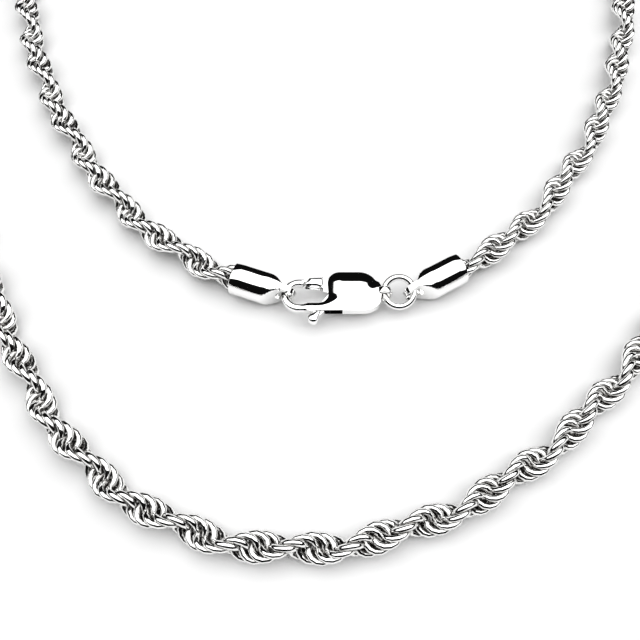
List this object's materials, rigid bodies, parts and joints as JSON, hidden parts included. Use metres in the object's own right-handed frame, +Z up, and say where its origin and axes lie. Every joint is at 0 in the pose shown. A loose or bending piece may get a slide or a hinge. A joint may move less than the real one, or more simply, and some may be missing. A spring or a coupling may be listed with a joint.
{
  "type": "chain necklace",
  "caption": "Closed rope-chain necklace with cylindrical end caps, a round jump ring and a lobster-claw clasp with a sprung lever, lying flat.",
  "frame": {"origin": "centre of the bounding box, on the surface the necklace lies on", "axes": "+X along the clasp towards the jump ring, +Y from the front of the chain towards the clasp, +Z up from the surface"},
  "size_m": [0.1586, 0.1129, 0.0045],
  "materials": {
    "chain_silver": "polished",
    "cap_silver": "polished",
    "solder": "as cast",
    "ring_silver": "polished",
    "clasp_silver": "polished",
    "lever_silver": "polished",
    "pin_silver": "satin",
    "spring_steel": "drawn wire"
  },
  "bodies": {
    "section_09": {"chain_24": "chain_silver", "chain_25": "chain_silver", "chain_26": "chain_silver"},
    "section_01": {"chain_01": "chain_silver", "chain_02": "chain_silver", "end_cap_right": "cap_silver", "solder_right": "solder"},
    "section_02": {"chain_03": "chain_silver", "chain_04": "chain_silver", "chain_05": "chain_silver"},
    "section_03": {"chain_06": "chain_silver", "chain_07": "chain_silver", "chain_08": "chain_silver"},
    "section_04": {"chain_09": "chain_silver", "chain_10": "chain_silver", "chain_11": "chain_silver"},
    "section_05": {"chain_12": "chain_silver", "chain_13": "chain_silver", "chain_14": "chain_silver"},
    "section_06": {"chain_15": "chain_silver", "chain_16": "chain_silver", "chain_17": "chain_silver"},
    "section_07": {"chain_18": "chain_silver", "chain_19": "chain_silver", "chain_20": "chain_silver"},
    "section_08": {"chain_21": "chain_silver", "chain_22": "chain_silver", "chain_23": "chain_silver"},
    "section_10": {"chain_27": "chain_silver", "chain_28": "chain_silver", "chain_29": "chain_silver"},
    "section_11": {"chain_30": "chain_silver", "chain_31": "chain_silver", "chain_32": "chain_silver"},
    "section_12": {"chain_33": "chain_silver", "chain_34": "chain_silver", "chain_35": "chain_silver"},
    "section_13": {"chain_36": "chain_silver", "chain_37": "chain_silver", "chain_38": "chain_silver"},
    "section_14": {"chain_39": "chain_silver", "chain_40": "chain_silver", "chain_41": "chain_silver"},
    "section_15": {"chain_42": "chain_silver", "chain_43": "chain_silver", "chain_44": "chain_silver"},
    "section_16": {"chain_45": "chain_silver", "chain_46": "chain_silver", "chain_47": "chain_silver", "end_cap_left": "cap_silver", "solder_left": "solder"},
    "ring": {"jump_ring": "ring_silver"},
    "clasp": {"clasp_body": "clasp_silver", "clasp_pin": "pin_silver", "clasp_spring": "spring_steel"},
    "lever": {"clasp_lever": "lever_silver"}
  },
  "joints": [
    {"name": "bend_23", "type": "hinge", "parent": "section_09", "child": "section_08", "pos_m": [0.00076, -0.05412, 0.00225], "axis": [0, 0, 1], "range_deg": [-14.46, 28.93], "deforming": ["chain_23", "chain_24"]},
    {"name": "bend_20", "type": "hinge", "parent": "section_08", "child": "section_07", "pos_m": [0.02845, -0.04029, 0.00225], "axis": [0, 0, 1], "range_deg": [-22.2, 11.13], "deforming": ["chain_20", "chain_21"]},
    {"name": "bend_17", "type": "hinge", "parent": "section_07", "child": "section_06", "pos_m": [0.04888, -0.01656, 0.00225], "axis": [0, 0, 1], "range_deg": [-4.42, 2.24], "deforming": ["chain_17", "chain_18"]},
    {"name": "bend_14", "type": "hinge", "parent": "section_06", "child": "section_05", "pos_m": [0.06684, 0.00915, 0.00225], "axis": [0, 0, 1], "range_deg": [-8.89, 4.47], "deforming": ["chain_14", "chain_15"]},
    {"name": "bend_11", "type": "hinge", "parent": "section_05", "child": "section_04", "pos_m": [0.07739, 0.03839, 0.00225], "axis": [0, 0, 1], "range_deg": [-6.46, 3.26], "deforming": ["chain_11", "chain_12"]},
    {"name": "bend_08", "type": "hinge", "parent": "section_04", "child": "section_03", "pos_m": [0.05557, 0.04985, 0.00225], "axis": [0, 0, 1], "range_deg": [-10.93, 21.81], "deforming": ["chain_08", "chain_09"]},
    {"name": "bend_05", "type": "hinge", "parent": "section_03", "child": "section_02", "pos_m": [0.04497, 0.02082, 0.00225], "axis": [0, 0, 1], "range_deg": [-0.46, 0.86], "deforming": ["chain_05", "chain_06"]},
    {"name": "bend_02", "type": "hinge", "parent": "section_02", "child": "section_01", "pos_m": [0.03033, -0.00672, 0.00225], "axis": [0, 0, 1], "range_deg": [-8.54, 4.29], "deforming": ["chain_02", "chain_03"]},
    {"name": "bend_26", "type": "hinge", "parent": "section_09", "child": "section_10", "pos_m": [-0.02835, -0.04555, 0.00225], "axis": [0, 0, 1], "range_deg": [-12.71, 6.38], "deforming": ["chain_26", "chain_27"]},
    {"name": "bend_29", "type": "hinge", "parent": "section_10", "child": "section_11", "pos_m": [-0.04603, -0.01987, 0.00225], "axis": [0, 0, 1], "range_deg": [-6.29, 12.52], "deforming": ["chain_29", "chain_30"]},
    {"name": "bend_32", "type": "hinge", "parent": "section_11", "child": "section_12", "pos_m": [-0.06056, 0.00793, 0.00225], "axis": [0, 0, 1], "range_deg": [-8, 15.96], "deforming": ["chain_32", "chain_33"]},
    {"name": "bend_35", "type": "hinge", "parent": "section_12", "child": "section_13", "pos_m": [-0.07605, 0.03516, 0.00225], "axis": [0, 0, 1], "range_deg": [-8.54, 17.04], "deforming": ["chain_35", "chain_36"]},
    {"name": "bend_38", "type": "hinge", "parent": "section_13", "child": "section_14", "pos_m": [-0.06054, 0.05392, 0.00225], "axis": [0, 0, 1], "range_deg": [-7.84, 3.94], "deforming": ["chain_38", "chain_39"]},
    {"name": "bend_41", "type": "hinge", "parent": "section_14", "child": "section_15", "pos_m": [-0.04861, 0.02656, 0.00225], "axis": [0, 0, 1], "range_deg": [-14.69, 7.37], "deforming": ["chain_41", "chain_42"]},
    {"name": "bend_44", "type": "hinge", "parent": "section_15", "child": "section_16", "pos_m": [-0.03476, -0.00145, 0.00225], "axis": [0, 0, 1], "range_deg": [-10.3, 5.17], "deforming": ["chain_44", "chain_45"]},
    {"name": "ring_turn", "type": "hinge", "parent": "section_01", "child": "ring", "pos_m": [0.0083, -0.022, 0.00225], "axis": [0, -0.3746, 0.9272], "continuous": true},
    {"name": "clasp_swing", "type": "hinge", "parent": "section_01", "child": "clasp", "pos_m": [0.0083, -0.022, 0.00225], "axis": [0, 0, 1], "range_deg": [-1.28, 0.67]},
    {"name": "lever_open", "type": "hinge", "parent": "clasp", "child": "lever", "pos_m": [0.0002, -0.02225, 0.00225], "axis": [0, 0, 1], "range_deg": [0, 25], "stiffness_Nm_per_rad": 0.01, "springref_deg": -17.19, "deforming": ["clasp_spring"]}
  ],
  "couplings": [
    {"joint": "bend_20", "follows": "bend_23", "ratio": -0.7657},
    {"joint": "bend_17", "follows": "bend_23", "ratio": -0.15116},
    {"joint": "bend_14", "follows": "bend_23", "ratio": -0.30542},
    {"joint": "bend_11", "follows": "bend_23", "ratio": -0.22162},
    {"joint": "bend_08", "follows": "bend_23", "ratio": 0.75226},
    {"joint": "bend_05", "follows": "bend_23", "ratio": 0.028045},
    {"joint": "bend_02", "follows": "bend_23", "ratio": -0.29341},
    {"joint": "bend_26", "follows": "bend_23", "ratio": -0.43757},
    {"joint": "bend_29", "follows": "bend_23", "ratio": 0.43111},
    {"joint": "bend_32", "follows": "bend_23", "ratio": 0.5498},
    {"joint": "bend_35", "follows": "bend_23", "ratio": 0.58718},
    {"joint": "bend_38", "follows": "bend_23", "ratio": -0.26924},
    {"joint": "bend_41", "follows": "bend_23", "ratio": -0.50614},
    {"joint": "bend_44", "follows": "bend_23", "ratio": -0.35419},
    {"joint": "clasp_swing", "follows": "bend_23", "ratio": -0.042593}
  ]
}
